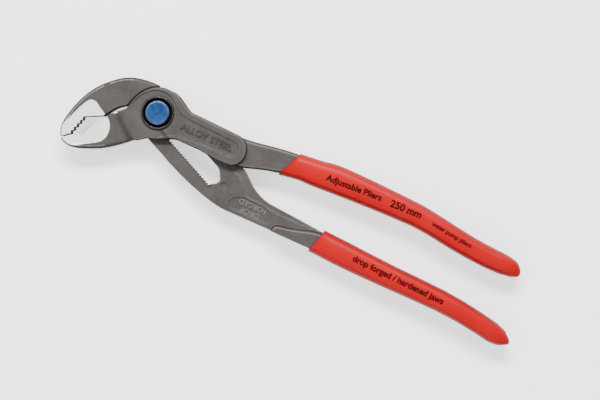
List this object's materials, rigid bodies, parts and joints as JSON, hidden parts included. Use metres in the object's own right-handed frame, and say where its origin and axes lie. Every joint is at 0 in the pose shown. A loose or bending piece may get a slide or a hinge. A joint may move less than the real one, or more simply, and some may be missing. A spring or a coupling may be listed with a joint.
{
  "type": "tongue and groove pliers",
  "caption": "Slip-joint water pump pliers with a slotted inner leg, toothed hinge adjustment set by a push button, ground pipe jaws and dipped plastic grips.",
  "frame": {"origin": "middle of the bounding box, on the plane that the pliers lie on", "axes": "+X along the handles away from the jaws, +Y from the lower handle to the upper handle, +Z out of the side with the button"},
  "size_m": [0.2494, 0.0508, 0.0164],
  "materials": {
    "forged_steel": "forged, phosphated grey, with jaw sides ground bright",
    "red_plastic": "dipped, glossy",
    "blue_button": "blue anodised",
    "dark_steel": "blackened, turned",
    "spring_steel": "drawn wire"
  },
  "bodies": {
    "outer_leg": {"outer_leg": "forged_steel", "upper_grip": "red_plastic"},
    "hinge_bolt": {"hinge_bolt": "dark_steel", "back_washer": "dark_steel", "back_plug": "dark_steel", "button_spring": "spring_steel"},
    "inner_leg": {"inner_leg": "forged_steel", "lower_grip": "red_plastic"},
    "push_button": {"push_button": "blue_button", "locking_plunger": "dark_steel"}
  },
  "joints": [
    {"name": "jaw_hinge", "type": "hinge", "parent": "outer_leg", "child": "hinge_bolt", "pos_m": [-0.08289, 0.01218, 0.007], "axis": [0, 0, -1], "range_deg": [0, 30]},
    {"name": "slot_slide", "type": "slide", "parent": "hinge_bolt", "child": "inner_leg", "axis": [-0.9107, 0.4131, 0], "range_m": [0, 0.0384]},
    {"name": "button_press", "type": "slide", "parent": "hinge_bolt", "child": "push_button", "axis": [0, 0, -1], "range_m": [0, 0.0024], "stiffness_N_per_m": 800, "springref_m": -0.002}
  ]
}
